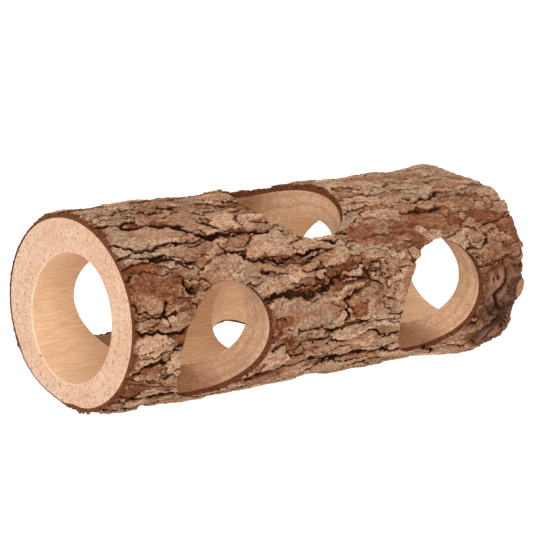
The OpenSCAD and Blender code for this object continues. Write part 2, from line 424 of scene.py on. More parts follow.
def plate_edges(seeds, x, s):
    """Gap to the edge between the two nearest plates, and how far that edge runs along the log."""
    first = np.full(x.shape, np.inf)
    second = np.full(x.shape, np.inf)
    owner = np.zeros(x.shape, int)
    rival = np.zeros(x.shape, int)
    for k, (sx, ss) in enumerate(seeds):
        d = np.hypot((x - sx) / PLATE_STRETCH, round_gap(s, ss))
        nearer = d < first
        next_best = ~nearer & (d < second)
        second = np.where(nearer, first, np.where(next_best, d, second))
        rival = np.where(nearer, owner, np.where(next_best, k, rival))
        first = np.where(nearer, d, first)
        owner = np.where(nearer, k, owner)
    dx = seeds[owner, 0] - seeds[rival, 0]
    ds = round_gap(seeds[owner, 1], seeds[rival, 1])
    return second - first, np.abs(ds) / (np.hypot(dx / PLATE_STRETCH, ds) + 1e-6)


def flake_sides(rng):
    """Directions of a flake's straight sides and how far out they stand, as parts of its half size."""
    count = rng.integers(5, 9)
    turns = (np.arange(count) + rng.uniform(-0.35, 0.35, count) + rng.random()) * TURN / count
    return list(zip(turns, rng.uniform(0.75, 1.1, count)))


def lay_flake(relief, tone, x, s, flake, sides):
    """Lays one angular flake on the relief where it stands higher, and gives its tone to that place."""
    cx, cs, half_x, half_s, top, lean_x, lean_s, own_tone = flake
    reach_s = int(1.9 * half_s / STEP_S) + 12
    reach_x = int(1.9 * half_x / STEP_X) + 24
    rows = np.arange(int(cs / STEP_S) - reach_s, int(cs / STEP_S) + reach_s) % AROUND
    middle = int((cx + NEAR_REACH) / STEP_X)
    columns = np.arange(max(middle - reach_x, 0), min(middle + reach_x, ALONG + 1))
    if len(columns) == 0:
        return
    patch = np.ix_(rows, columns)
    dx = x[patch] - cx
    ds = round_gap(s[patch], cs)
    beyond = [(math.cos(a) * dx / half_x + math.sin(a) * ds / half_s) / reach for a, reach in sides]
    inside = smoothstep(1.0, 1.0 - 0.4 / half_s, np.max(beyond, 0))
    height = top + lean_x * dx + lean_s * ds
    old = relief[patch]
    higher = height > old
    relief[patch] = np.where(higher, height * inside + old * (1 - inside), old)
    tone[patch] = np.where(higher & (inside > 0.5), own_tone, tone[patch])


def stacked_flakes(x, s):
    """Height and tone of flakes laid over each other in layers, lower on the bare patches."""
    rng = np.random.default_rng(31)
    relief = np.full(x.shape, 0.3)
    tone = np.full(x.shape, 0.4)
    for count, short, long, low, high in FLAKE_LAYERS:
        for _ in range(count):
            half_x = rng.uniform(short, long)
            half_s = half_x * rng.uniform(*FLAKE_WIDTH)
            lean_s = rng.normal(0, FLAKE_LEAN_S) / half_s
            flake = (rng.uniform(-NEAR_REACH, LENGTH + 4), rng.uniform(0, ROUND), half_x, half_s,
                     rng.uniform(low, high), rng.normal(0, FLAKE_LEAN_X) / half_x, lean_s, rng.random())
            lay_flake(relief, tone, x, s, flake, flake_sides(rng))
    for px, angle, half_x, half_s, _ in BARE_PATCHES:
        away = np.hypot((x - px) / half_x, round_gap(s, math.radians(angle) * MEAN_R) / half_s)
        bare = smoothstep(1.25, 0.75, away)
        relief = relief * (1 - 0.45 * bare) + 0.2 * bare
    for px, angle, half_x, half_s, _ in PALE_FLAKES:
        flake = (px, math.radians(angle) * MEAN_R, half_x, half_s, PALE_TOP, 0.0, 0.03, 1.0)
        lay_flake(relief, tone, x, s, flake, flake_sides(rng))
    return relief, tone


def fissure_cuts(fissures, x, s):
    """Narrow cores of fissures through given places, and the valleys round them, each from 0 to 1."""
    wander = np.clip(1 + 0.3 * seamless_field(16, 8, 6, 1.2), 0.4, 1.6)
    core = np.zeros(x.shape)
    valley = np.zeros(x.shape)
    for width, points in fissures:
        path = np.array([(px, math.radians(angle) * MEAN_R) for px, angle in points])
        spans = np.hypot(*np.diff(path, axis=0).T)
        ends = np.concatenate([[0], np.cumsum(spans)])
        for a, b, start, span in zip(path[:-1], path[1:], ends, spans):
            dx = x - a[0]
            ds = round_gap(s, a[1])
            t = np.clip((dx * (b[0] - a[0]) + ds * (b[1] - a[1])) / span ** 2, 0, 1)
            d = np.hypot(dx - t * (b[0] - a[0]), ds - t * (b[1] - a[1]))
            along = (start + t * span) / ends[-1]
            half = 0.5 * width * (0.25 + 0.75 * np.sin(math.pi * along) ** 0.6) * wander
            core = np.maximum(core, smoothstep(1.25, 0.55, d / half))
            valley = np.maximum(valley, smoothstep(half + VALLEY, 0.6 * half, d))
    return core, valley


def patch_mask(places, x, s, soft):
    """Strength of some rounded patches, given as x, angle, half length, half width and strength."""
    mask = np.zeros(x.shape)
    for px, angle, half_x, half_s, strength in places:
        ds = round_gap(s, math.radians(angle) * MEAN_R)
        away = (np.abs((x - px) / half_x) ** 3 + np.abs(ds / half_s) ** 3) ** (1 / 3)
        mask = np.maximum(mask, strength * smoothstep(1 + soft, 1 - soft, away))
    return mask


def crumbled_edge():
    """1 where the bark has crumbled at the near saw cut, and 0 from a few millimetres on."""
    along = GRID_X - SAW_SLOPE * bast_radius(GRID_T, GRID_X) * np.cos(GRID_T)
    return smoothstep(3.0, 0.4, along + 1.2 * seamless_field(18, 3, 4, 1.2))


def collar_distance():
    """Distance from the collar's middle over the grid, as a part of the collar's half size."""
    ds = angle_gap(GRID_T, COLLAR_ANGLE) * MEAN_R
    return np.hypot((GRID_X - COLLAR_X) / COLLAR_HALF_X, ds / COLLAR_HALF_S)


# Fields over the grid that several functions share. The ragged and warped places are the grid's own, pushed
# about a little, so that the edges of what is laid there are ragged.
WORN = worn(GRID_T, GRID_X)
CRUMBLED = crumbled_edge()
COLLAR_AWAY = collar_distance()
COLLAR = smoothstep(1.25, 0.75, COLLAR_AWAY + 0.12 * seamless_field(28, 12, 12, 1.4))
RAGGED_X = GRID_X + 0.8 * seamless_field(12, 7, 5, 1.3)
RAGGED_S = GRID_S + 0.5 * seamless_field(14, 7, 5, 1.3)
WARPED_X = RAGGED_X + 2.2 * seamless_field(11, 30, 18, 1.6)
WARPED_S = RAGGED_S + 1.6 * seamless_field(13, 40, 18, 1.6)
FLAKES, FLAKE_TONES = stacked_flakes(WARPED_X, WARPED_S)
# Painted shadow at the foot of each flake's edge, where the relief steps down
FLAKE_FOOT_SHADOW = np.clip((blurred(FLAKES, 0.55) - FLAKES) / 0.2, 0, 1)


def bark_relief():
    """Height of the outer bark above the inner bark over the grid, with its cracks and chip scars."""
    relief = FLAKES + 0.08 * seamless_field(26, 6.0, 1.8, 1.0) + 0.08 * seamless_field(27, 1.4, 1.0, 0.9)
    scars = patch_mask(CHIP_SCARS, 0.7 * GRID_X + 0.3 * RAGGED_X, 0.7 * GRID_S + 0.3 * RAGGED_S, 0.1)
    relief = relief * (1 - scars) + CHIP_FLOOR * scars

    gap, lengthwise = plate_edges(plate_seeds(), WARPED_X, WARPED_S)
    width = np.clip(0.6 + 0.6 * seamless_field(15, 40, 16, 1.4), 0.0, 1.8) * lengthwise ** 3 + 0.02
    crack = 0.6 * (1 - smoothstep(0.25, 1.0, gap / width))
    core, valley = fissure_cuts(FISSURES, RAGGED_X, RAGGED_S)
    open_here = smoothstep(-1.0, 0.2, seamless_field(17, 12, 8, 1.3))
    crack = np.maximum(crack, core * (0.7 + 0.3 * open_here))
    relief = np.clip(relief, *BARK_HEIGHTS) * (1 - 0.4 * valley)
    relief = relief * (1 - crack) + FISSURE_FLOOR * crack

    relief = relief * (1 - 0.8 * WORN) * (1 - 0.6 * CRUMBLED)
    relief = relief * (1 - COLLAR) + FISSURE_FLOOR * COLLAR
    ceiling = GROUND / np.maximum(-np.sin(GRID_T), 0.05) - bast_radius(GRID_T, GRID_X)
    relief = np.minimum(relief, np.maximum(ceiling, FISSURE_FLOOR))
    return relief, crack, scars


def bark_looks(relief, crack, scars):
    """Masks that colour the outer bark over the grid: how pale with weather it is, with painted light on the
    top and ridges; how dark, with painted shade and shadow; and how bare.
    """
    # Painted shade in the bark's hollows, where the relief lies below the level round it
    hollow_shade = np.clip((blurred(relief, 1.6) - relief) / 0.8, 0, 1)
    # Painted highlight: the tops of ridges are made paler, as where light catches them
    ridge_highlight = np.clip((relief - blurred(relief, 0.8)) / 0.4, 0, 1)
    pale = patch_mask(PALE_FLAKES, WARPED_X, WARPED_S, 0.2)
    bare = patch_mask(BARE_PATCHES, WARPED_X, WARPED_S, 0.4) * (1 - pale)
    bare = bare * (0.4 + 0.6 * smoothstep(-0.9, 0.5, seamless_field(19, 14, 5, 1.3)))
    bare = np.maximum(0.5 * scars, bare)
    # Painted light: the top of the log, and more so its far half, is made paler and its dark lines fainter,
    # as if lit from above
    crown = smoothstep(0.1, 0.9, np.cos(GRID_T - TOP_LIGHT_DIR))
    top_light = crown * smoothstep(90, 150, GRID_X)
    weathered_and_lit = smoothstep(0.3, 1.7, relief + 0.25 * seamless_field(29, 24, 14, 1.5))
    weathered_and_lit = (weathered_and_lit + 0.2 * crown + 0.22 * top_light) * (1 - 0.5 * bare)
    weathered_and_lit = weathered_and_lit + 0.3 * smoothstep(0.85, 0.97, np.cos(GRID_T - PALE_EDGE_DIR))
    # Painted shade: the bark grows darker and less pale towards the collar
    collar_shade = smoothstep(1.9, 0.9, COLLAR_AWAY)
    weathered_and_lit = weathered_and_lit * (1 - 0.45 * collar_shade)
    tone = np.maximum(FLAKE_TONES, scars) * (1 - 0.5 * collar_shade)
    # Dark marks: painted shadow at the flakes' feet and painted shade in hollows, with the fissures' own
    # dark; less on the painted-lit top, and a darker crumbled edge at the near cut
    dark = np.clip(0.65 * FLAKE_FOOT_SHADOW * (1 - WORN) + 0.25 * hollow_shade + 0.75 * crack, 0, 1)
    dark = np.maximum(dark * (1 - 0.3 * top_light), 0.25 * CRUMBLED)
    return np.stack([weathered_and_lit + 0.3 * ridge_highlight, tone, dark, bare], -1)


def stub_ends():
    """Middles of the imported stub's root and face, in the log's own frame."""
    places = mesh_places(frame["nodes"]["branch_stub"].data)
    middle = places.mean(0)
    ahead = np.linalg.svd(places - middle, full_matrices=False)[2][0]
    ahead = ahead if ahead[1] < 0 else -ahead
    reach = (places - middle) @ ahead
    return middle + reach.min() * ahead, middle + reach.max() * ahead


def collar_relief():
    """Height of the collar's folds over the grid, sunk below the inner bark outside it, and its masks."""
    dx = GRID_X - SCAR_X
    ds = round_gap(GRID_S, SCAR_ANGLE * MEAN_R)
    away = np.hypot(dx, ds)
    bearing = np.arctan2(ds, dx) + 0.25 * seamless_field(41, 10, 10, 1.6)
    folds = np.abs(np.sin(0.5 * SCAR_FOLDS * bearing))
    folds = folds * smoothstep(1.0, 4.0, away) * smoothstep(20, 8, away)
    rough = 0.35 * seamless_field(42, 2.5, 8, 1.4) + 0.1 * seamless_field(43, 1.2, 1.2, 0.8)
    flaky = 0.45 * (FLAKES - 1.0) * smoothstep(2.0, 8.0, away)
    height = np.clip(0.5 + 0.8 * folds - 0.6 * smoothstep(3.0, 1.0, away) + rough + flaky, 0.1, 2.4)
    crease, valley = fissure_cuts(COLLAR_CREASES, GRID_X, GRID_S)
    height = height * (1 - 0.5 * valley) * (1 - crease) + FISSURE_FLOOR * crease

    root, face = stub_ends()
    x, y, z = root + SLEEVE_AT * (face - root)
    beside = np.hypot(GRID_X - x, round_gap(GRID_S, round_place(y, z)))
    height = height + SLEEVE_RISE * np.exp(-(beside / SLEEVE_REACH) ** 2)
    height = height * COLLAR - 0.4 * (1 - COLLAR)

    # Painted shade in the collar's hollows and creases and at the flakes' feet
    hollow_shade = np.clip((blurred(height, 1.0) - height) / 0.6 + 0.5 * crease + 0.15 * FLAKE_FOOT_SHADOW, 0, 1)
    hollow_shade = hollow_shade * smoothstep(0.2, 0.8, COLLAR)
    shaded = np.maximum(0.7 * np.exp(-(away / SCAR_SHADE) ** 2), 0.8 * valley)
    tone = smoothstep(-1.8, 1.2, seamless_field(44, 10, 7, 1.4)) * (1 - shaded)
    return height, np.stack([smoothstep(0.3, 1.7, height), tone, hollow_shade, 1 - COLLAR], -1)


# Cutters

def saw_cutter():
    """Everything beyond the leaning saw cut at the near end."""
    size = CUT_REACH
    corners = [(-2 * size - SAW_SLOPE * size, -size), (-SAW_SLOPE * size, -size),
               (SAW_SLOPE * size, size), (-2 * size + SAW_SLOPE * size, size)]
    points = [(x, y, z) for z in (-size, size) for x, y in corners]
    quads = [(0, 3, 2, 1), (4, 5, 6, 7), (0, 1, 5, 4), (1, 2, 6, 5), (2, 3, 7, 6), (3, 0, 4, 7)]
    return mesh_object("saw_cutter", np.array(points, float), np.array(quads))


def outward_points(x, angle, offset, radius, height):
    """Points of a drill that stands out of the log at an angle, by radius and height arrays."""
    turn = circle(radius.shape[0])
    a = math.radians(angle)
    across = offset - radius * np.sin(turn)
    px = x + radius * np.cos(turn)
    return np.stack(np.broadcast_arrays(px, height * math.cos(a) - across * math.sin(a),
                                        height * math.sin(a) + across * math.cos(a)), -1)


def window_cutters(spread, ragged, seed):
    """Drills for the six windows, a little wider than their size and with uneven walls."""
    cutters = []
    sides, levels = 224, 72
    height = np.linspace(WINDOW_START, CUT_REACH, levels)[None, :]
    steps = (TURN * WINDOW_R / sides, (CUT_REACH - WINDOW_START) / levels)
    for k, (x, angle, offset) in enumerate(WINDOWS):
        waves = seamless_field(seed + k, 3.0, 5.0, 1.2, (sides, levels), steps)
        radius = WINDOW_R + spread + ragged * waves
        cutters.append(tube("window_cutter", outward_points(x, angle, offset, radius, height)))
    return cutters


def bore_cutter():
    """The drill along the log, its wall roughened by long fibres."""
    sides, levels = 288, 150
    low, high = -2 * NEAR_REACH, LENGTH + NEAR_REACH
    steps = (TURN * BORE_R / sides, (high - low) / levels)
    fibres = seamless_field(50, 30, 1.2, 1.0, (sides, levels), steps)
    theta = circle(sides)
    x = np.linspace(low, high, levels)[None, :]
    return tube("bore_cutter", ring_point(theta, x, BORE_R + BORE_FUZZ * fibres))


def rim_cutter(x):
    """A short cone that breaks the bore's edge at a sawn end."""
    inward = 1 if x == 0 else -1
    slope = SAW_SLOPE if x == 0 else 0.0
    theta = circle(192)
    depth = np.array([[-1.0, RIM_CHAMFER + 0.3]])[:, ::inward]
    radius = BORE_R + RIM_CHAMFER - depth + 0 * theta
    return tube("rim_cutter", ring_point(theta, x + inward * depth + slope * radius * np.cos(theta), radius))


# Which faces lie where

def face_places(obj):
    """Middle of every face in the log's own frame, and its normal."""
    faces = obj.data.polygons
    return vectors(faces, "center") / MM - ORIGIN, vectors(faces, "normal")


def on_end(obj):
    """Which faces of a piece lie on a sawn end."""
    close, facing = 0.05, 0.9
    centre, normal = face_places(obj)
    near = np.abs(centre[:, 0] - SAW_SLOPE * centre[:, 1]) < close
    far = np.abs(centre[:, 0] - LENGTH) < close
    return near & (normal @ np.array(SAW_NORMAL) > facing) | far & (normal[:, 0] > facing)


def on_window(obj, spread, windows=WINDOWS):
    """Which faces of a piece lie on the wall of one of some windows."""
    close, facing, past_bore = 0.8, 0.7, 0.15
    centre, normal = face_places(obj)
    found = np.zeros(len(centre), bool)
    beyond_bore = np.hypot(centre[:, 1], centre[:, 2]) > BORE_R + past_bore
    for x, angle, offset in windows:
        a = math.radians(angle)
        side = np.array([0, -math.sin(a), math.cos(a)])
        away = np.stack([centre[:, 0] - x, centre @ side - offset], -1)
        distance = np.hypot(away[:, 0], away[:, 1])
        looking = (normal[:, 0] * away[:, 0] + (normal @ side) * away[:, 1]) / np.maximum(distance, 1)
        outward = centre @ np.array([0, math.cos(a), math.sin(a)]) > 0
        on_wall = np.abs(distance - WINDOW_R - spread) < close
        found |= on_wall & outward & beyond_bore & (looking < -facing)
    return found


# Materials

# How much bark shines
MATTE = 0.02
# Width of the growth rings
RING_WIDTH = 2.2
# Kinds of noise: detail and roughness
SOFT = (2.0, 0.5)
CLOUDY = (3.0, 0.6)
CRISP = (5.0, 0.65)
GRITTY = (6.0, 0.7)
# Finishes of the wood: the sawn ends, the windows made browner by the drill and darkened with painted shade,
# the bore, and the bore's edge rubbed smooth; the window underneath takes the bore's pale finish as painted
# light from the floor below. Each has the end grain's dark, light and pore tones, the long grain's dark,
# light and streak tones, the depth of its bumps, and how speckled and ringed the end grain is.
WOOD_FINISHES = [
    ("sawn_wood", [(200, 158, 128), (228, 194, 167), (146, 98, 72)],
     [(206, 158, 120), (226, 184, 148), (192, 140, 100)], 0.25, 0.65, 0.1),
    ("drilled_wood", [(193, 151, 117), (226, 188, 154), (155, 108, 77)],
     [(138, 95, 65), (179, 136, 100), (106, 65, 42)], 0.16, 0.25, 0.28),
    ("bored_wood", [(216, 172, 140), (240, 204, 176), (184, 132, 98)],
     [(216, 175, 137), (242, 209, 173), (203, 157, 117)], 0.12, 0.65, 0.1),
    ("sanded_wood", [(218, 181, 150), (240, 208, 180), (206, 164, 131)],
     [(222, 185, 153), (242, 210, 182), (212, 169, 136)], 0.1, 0.65, 0.1),
]
SAWN, DRILLED, BORED, SANDED = range(len(WOOD_FINISHES))


def srgb(r, g, b):
    """A linear colour from 8-bit screen values."""
    def linear(c):
        c = c / 255
        return c / 12.92 if c <= 0.04045 else ((c + 0.055) / 1.055) ** 2.4
    return (linear(r), linear(g), linear(b), 1.0)


class Shader:
    """A node material that is built up step by step."""

    def __init__(self, name):
        self.material = bpy.data.materials.new(name)
        self.material.use_nodes = True
        self.tree = self.material.node_tree
        self.bsdf = self.tree.nodes["Principled BSDF"]

    def feed(self, node, inputs):
        """Feeds a node's inputs from other nodes' sockets or with constants."""
        for key, given in inputs.items():
            if isinstance(given, bpy.types.NodeSocket):
                self.tree.links.new(given, node.inputs[key])
            else:
                node.inputs[key].default_value = given

    def node(self, kind, inputs, **settings):
        made = self.tree.nodes.new(kind)
        for key, value in settings.items():
            setattr(made, key, value)
        self.feed(made, inputs)
        return made

    def math(self, operation, a, b=0.0):
        return self.node("ShaderNodeMath", {0: a, 1: b}, operation=operation).outputs[0]

    def ramp(self, value, low, high):
        """0 below low, 1 above high and smooth between."""
        inputs = {"Value": value, "From Min": low, "From Max": high}
        return self.node("ShaderNodeMapRange", inputs, interpolation_type="SMOOTHSTEP").outputs["Result"]

    def mix(self, factor, a, b, blend="MIX"):
        n = self.node("ShaderNodeMix", {"Factor": factor}, data_type="RGBA", blend_type=blend)
        colours = [k for k, socket in enumerate(n.inputs) if socket.type == "RGBA"]
        self.feed(n, {colours[0]: a, colours[1]: b})
        return next(socket for socket in n.outputs if socket.type == "RGBA")

    def mottled(self, noise, dark, light):
        """A colour between two, by noise."""
        return self.mix(self.ramp(noise, 0.3, 0.7), dark, light)

    def covered(self, colour, where, strength, over):
        """A colour with another laid over it, where a mask says and as strongly as said."""
        return self.mix(self.math("MULTIPLY", where, strength), colour, over)

    def places(self, scale, location=(0.0, 0.0, 0.0)):
        """Object coordinates, scaled along each axis and then moved."""
        source = self.node("ShaderNodeTexCoord", {}).outputs["Object"]
        inputs = {"Vector": source, "Location": location, "Scale": scale}
        return self.node("ShaderNodeMapping", inputs).outputs["Vector"]

    def noise(self, along, across, detail=3.0, roughness=0.55):
        """Noise with grains of so many millimetres along the log and across it."""
        place = self.places([1 / (MM * size) for size in (along, across, across)])
        inputs = {"Vector": place, "Scale": 1.0, "Detail": detail, "Roughness": roughness}
        return self.node("ShaderNodeTexNoise", inputs).outputs["Fac"]

    def jitter(self, value, along, across, amount):
        """A value made uneven by crisp noise."""
        about_zero = self.math("SUBTRACT", self.noise(along, across, *CRISP), 0.5)
        return self.math("ADD", value, self.math("MULTIPLY", about_zero, amount))

    def rings(self, width):
        """Uneven growth rings round the bore's axis, about so many millimetres wide."""
        place = self.places((0.0, 1 / MM, 1 / MM), (0.0, -ORIGIN[1], -ORIGIN[2]))
        away = self.node("ShaderNodeVectorMath", {0: place}, operation="LENGTH").outputs["Value"]
        waves = self.math("MULTIPLY", self.noise(14.0, 9.0, 2.0), 4.0)
        inputs = {"W": self.math("ADD", away, waves), "Scale": 1 / width, "Detail": 3.0}
        return self.node("ShaderNodeTexNoise", inputs, noise_dimensions="1D").outputs["Fac"]

    def bump(self, height, depth, strength):
        inputs = {"Height": height, "Distance": depth * MM, "Strength": strength}
        return self.node("ShaderNodeBump", inputs).outputs["Normal"]

    def done(self, colour, normal=None, roughness=0.9, gloss=0.25):
        self.feed(self.bsdf, {"Base Color": colour, "Roughness": roughness, "Specular IOR Level": gloss})
        if normal is not None:
            self.feed(self.bsdf, {"Normal": normal})
        return self.material

    def done_as_bark(self, colour, height):
        """Finishes a rough, matte bark whose small relief is a height."""
        return self.done(colour, self.bump(height, 0.3, 0.7), 0.95, MATTE)


def bark_masks(sh):
    """The four masks stored on a bark piece."""
    masks = sh.node("ShaderNodeAttribute", {}, attribute_name="bark")
    parts = sh.node("ShaderNodeSeparateColor", {"Color": masks.outputs["Color"]})
    return *parts.outputs, masks.outputs["Alpha"]


def bark_material():
    """Weathered flakes over red-brown bark, with dark fissures, painted shadow under the flakes' edges and
    painted light on the top and ridges, from the masks on the mesh.
    """
    sh = Shader("outer_bark")
    weathered_and_lit, tone, dark, bare = bark_masks(sh)
    lower = sh.mix(tone, srgb(114, 67, 41), srgb(157, 103, 70))
    upper = sh.mix(tone, srgb(168, 122, 92), srgb(228, 189, 157))
    greyed = sh.ramp(sh.noise(17.0, 9.0, *CLOUDY), 0.42, 0.62)
    upper = sh.covered(upper, greyed, 0.65, srgb(190, 165, 139))
    colour = sh.mix(sh.ramp(sh.jitter(weathered_and_lit, 8.0, 5.0, 0.9), 0.2, 1.15), lower, upper)
    stained = sh.noise(4.0, 2.5, *CLOUDY)
    colour = sh.covered(colour, bare, 0.7, sh.mottled(stained, srgb(134, 77, 50), srgb(180, 121, 88)))
    speckle = sh.noise(1.3, 0.9, *GRITTY)
    grit = sh.mix(sh.ramp(speckle, 0.32, 0.68), srgb(150, 124, 108), srgb(255, 250, 244))
    colour = sh.mix(0.8, colour, grit, "MULTIPLY")
    contour = sh.math("ABSOLUTE", sh.math("SUBTRACT", sh.noise(7.0, 2.4, 4.0, 0.6), 0.5))
    colour = sh.covered(colour, sh.ramp(contour, 0.022, 0.006), 0.55, srgb(76, 41, 24))
    # Painted shade and shadow from the dark mask, with the fissures' own dark
    colour = sh.covered(colour, sh.ramp(dark, 0.06, 0.4), 0.7, srgb(86, 47, 28))
    colour = sh.mix(sh.ramp(dark, 0.32, 0.75), colour, srgb(35, 17, 8))
    return sh.done_as_bark(colour, sh.noise(0.9, 0.6, *CRISP))


def collar_material():
    """Dark, wrinkled bark round the branch, lighter at its edge, with painted shade in its hollows and
    creases.
    """
    sh = Shader("collar_bark")
    raised, tone, hollow_shade, edge = bark_masks(sh)
    lower = sh.mix(tone, srgb(58, 36, 26), srgb(112, 76, 58))
    upper = sh.mix(tone, srgb(84, 55, 41), srgb(152, 110, 87))
    colour = sh.mix(sh.ramp(sh.jitter(raised, 4.0, 3.0, 0.8), 0.1, 1.0), lower, upper)
    colour = sh.mix(sh.ramp(edge, 0.15, 0.6), colour, srgb(140, 98, 75))
    # Painted shade in the hollows
    colour = sh.covered(colour, sh.ramp(hollow_shade, 0.1, 0.9), 0.85, srgb(34, 21, 15))
    return sh.done_as_bark(colour, sh.noise(0.9, 0.7, *CRISP))


def cut_bark_material():
    """Sawn and drilled edge of the bark: thin dark layers."""
    sh = Shader("cut_bark")
    layers = sh.noise(1.6, 0.6, 4.0, 0.65)
    return sh.done_as_bark(sh.mottled(layers, srgb(70, 34, 20), srgb(132, 82, 56)), layers)


def end_grain(sh, speckled, ringed, dark, light, pore):
    """Cut across the fibres: a mottled tone with growth rings, small pores and a few brown specks."""
    mottle = sh.noise(1.3, 1.1, *GRITTY)
    colour = sh.mottled(mottle, dark, light)
    colour = sh.covered(colour, sh.ramp(sh.rings(RING_WIDTH), 0.42, 0.68), ringed, pore)
    pores = sh.noise(0.85, 0.7, *SOFT)
    colour = sh.covered(colour, sh.ramp(pores, 0.57, 0.67), 0.7 * speckled, pore)
    specks = sh.noise(1.7, 1.3, *SOFT)
    colour = sh.covered(colour, sh.ramp(specks, 0.62, 0.68), speckled, srgb(146, 92, 62))
    return colour, mottle


def long_grain(sh, dark, light, streak):
    """Cut along the fibres: fine short streaks along the log and a few longer brown ones."""
    fibres = sh.noise(7.0, 0.5, *CRISP)
    bands = sh.ramp(sh.noise(38.0, 2.6, *CLOUDY), 0.52, 0.78)
    return sh.covered(sh.mottled(fibres, dark, light), bands, 0.45, streak), fibres


def wood_material(name, end_tones, long_tones, rough, speckled, ringed):
    """Pale softwood, shown as end grain where a face looks along the log and as long grain elsewhere."""
    sh = Shader(name)
    end_tones = [srgb(*tone) for tone in end_tones]
    long_tones = [srgb(*tone) for tone in long_tones]
    facing = sh.node("ShaderNodeNewGeometry", {}).outputs["True Normal"]
    axes = sh.node("ShaderNodeSeparateXYZ", {"Vector": facing})
    endness = sh.ramp(sh.math("ABSOLUTE", axes.outputs["X"]), 0.3, 0.75)
    end, mottle = end_grain(sh, speckled, ringed, *end_tones)
    along, fibres = long_grain(sh, *long_tones)
    clouds = sh.ramp(sh.noise(24, 14), 0.42, 0.72)
    colour = sh.covered(sh.mix(endness, along, end), clouds, 0.3, long_tones[2])
    return sh.done(colour, sh.bump(sh.mix(endness, fibres, mottle), rough, 0.6), 0.88)


def stub_bark_material():
    """The branch's own thin brown bark."""
    sh = Shader("stub_bark")
    patches = sh.noise(1.6, 1.6, *CRISP)
    colour = sh.mottled(patches, srgb(62, 39, 29), srgb(104, 70, 52))
    return sh.done(colour, sh.bump(patches, 0.4, 0.7), 0.92, MATTE)


def stub_wood_material():
    """The branch's sawn face, browner than the log's wood."""
    sh = Shader("stub_wood")
    mottle = sh.noise(0.9, 0.9, *CRISP)
    clouds = sh.ramp(sh.noise(3.0, 3.0, *SOFT), 0.45, 0.7)
    colour = sh.mottled(mottle, srgb(134, 86, 60), srgb(184, 132, 98))
    colour = sh.covered(colour, clouds, 0.5, srgb(128, 80, 54))
    return sh.done(colour, sh.bump(mottle, 0.2, 0.6), 0.88)


CUT_BARK = cut_bark_material()


# The log's pieces

def finish_piece(obj, nodes, materials, face_material=None, angle=40):
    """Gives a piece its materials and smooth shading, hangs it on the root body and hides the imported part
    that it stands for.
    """
    for material in materials:
        obj.data.materials.append(material)
    if face_material is not None:
        obj.data.polygons.foreach_set("material_index", face_material.astype(np.int32))
    shade(obj, angle)
    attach(obj, "root")
    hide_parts(*nodes)


def sampled(field, theta, x):
    """Masks of the grid at any places, blended between the grid's points."""
    u = (theta % TURN) / TURN * AROUND
    v = np.clip((x + NEAR_REACH) / STEP_X, 0, ALONG - 1e-3)
    iu = np.floor(u).astype(int)
    iv = np.floor(v).astype(int)
    fu = (u - iu)[:, None]
    fv = (v - iv)[:, None]
    near = field[iu % AROUND, iv] * (1 - fv) + field[iu % AROUND, iv + 1] * fv
    far = field[(iu + 1) % AROUND, iv] * (1 - fv) + field[(iu + 1) % AROUND, iv + 1] * fv
    return near * (1 - fu) + far * fu


def finish_bark(piece, node, material, masks):
    """Stores the masks on a piece of bark, finds its cut edges and finishes it."""
    x, y, z = mesh_places(piece.data).T
    layer = piece.data.color_attributes.new("bark", "FLOAT_COLOR", "POINT")
    layer.data.foreach_set("color", sampled(masks, np.arctan2(z, y), x).astype(np.float32).ravel())
    edges = on_window(piece, BARK_WINDOWS[0]) | on_end(piece)
    finish_piece(piece, [node], [material, CUT_BARK], edges)


def wood_piece():
    """The bored log; the window underneath is as pale as the bore, painted light from the floor below, and
    the other windows' walls are made browner by the drill and darkened with painted shade.
    """
    x = np.linspace(-NEAR_REACH, LENGTH, 2 * COARSE_ALONG + 1)
    wood = log_solid("wood", wood_radius, 2 * COARSE_AROUND, x)
    cut(wood, saw_cutter(), bore_cutter(), rim_cutter(0), rim_cutter(LENGTH), *window_cutters(*WOOD_WINDOWS))
    _, normal = face_places(wood)
    facing_end = np.abs(normal[:, 0])
    # The windows whose walls get the drilled finish: made browner by the drill and darkened with painted
    # shade. The window underneath keeps the bore's pale finish, painted light from the floor below.
    browned_and_shaded = [window for window in WINDOWS if window[1] != SIDE_ANGLES["underside"]]
    kind = np.where(facing_end > 0.9, SAWN, np.where(facing_end > 0.5, SANDED, BORED))
    kind = np.where(on_window(wood, WOOD_WINDOWS[0]), BORED, kind)
    kind = np.where(on_window(wood, WOOD_WINDOWS[0], browned_and_shaded), DRILLED, kind)
    materials = [wood_material(*finish) for finish in WOOD_FINISHES]
    finish_piece(wood, ["wood_tube"], materials, kind, 35)


def inner_bark_piece():
    """The thin inner bark, seen as a dark ring at the cut edges."""
    x = np.linspace(-NEAR_REACH, LENGTH, COARSE_ALONG + 1)
    bark = log_solid("inner_bark_ring", bast_radius, COARSE_AROUND, x)
    longer_x = np.linspace(-2 * NEAR_REACH, LENGTH + NEAR_REACH, 2 * COARSE_ALONG + 5)
    core = log_solid("core", wood_radius, 2 * COARSE_AROUND, longer_x)
    cut(bark, saw_cutter(), core, *window_cutters(*INNER_WINDOWS))
    finish_piece(bark, ["inner_bark"], [CUT_BARK])


